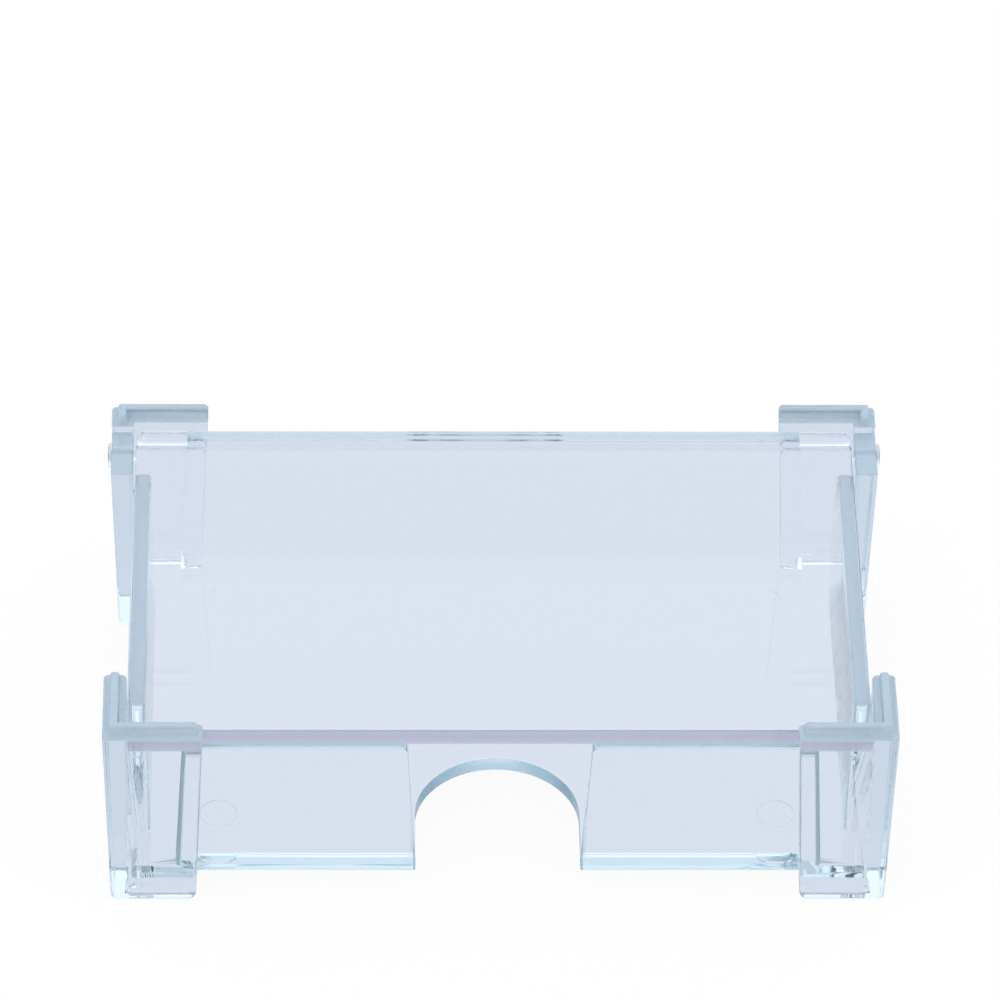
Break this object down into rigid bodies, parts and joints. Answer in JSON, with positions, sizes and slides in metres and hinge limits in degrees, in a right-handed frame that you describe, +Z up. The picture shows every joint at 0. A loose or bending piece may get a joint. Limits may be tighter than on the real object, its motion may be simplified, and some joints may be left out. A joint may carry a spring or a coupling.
{
  "type": "business card holder",
  "caption": "Clear plastic stackable box for business cards, with a thumb notch in front, ridged corner posts and a lid hinged at the back.",
  "frame": {"origin": "on the ground, under the centre of the box", "axes": "+X across the box along its width, +Y from the front with the thumb notch to the hinged back, +Z up"},
  "size_m": [0.1062, 0.0666, 0.0312],
  "materials": {
    "tray_plastic": "clear gloss",
    "post_plastic": "clear gloss",
    "lid_plastic": "clear gloss",
    "pin_plastic": "clear gloss"
  },
  "bodies": {
    "box": {"card_tray": "tray_plastic", "front_left_post": "post_plastic", "front_right_post": "post_plastic", "rear_left_post": "post_plastic", "rear_right_post": "post_plastic"},
    "lid": {"lid": "lid_plastic", "left_hinge_pin": "pin_plastic", "right_hinge_pin": "pin_plastic"}
  },
  "joints": [
    {"name": "lid_hinge", "type": "hinge", "parent": "box", "child": "lid", "pos_m": [0, 0.0261, 0.02715], "axis": [-1, 0, 0], "range_deg": [0, 100]}
  ]
}
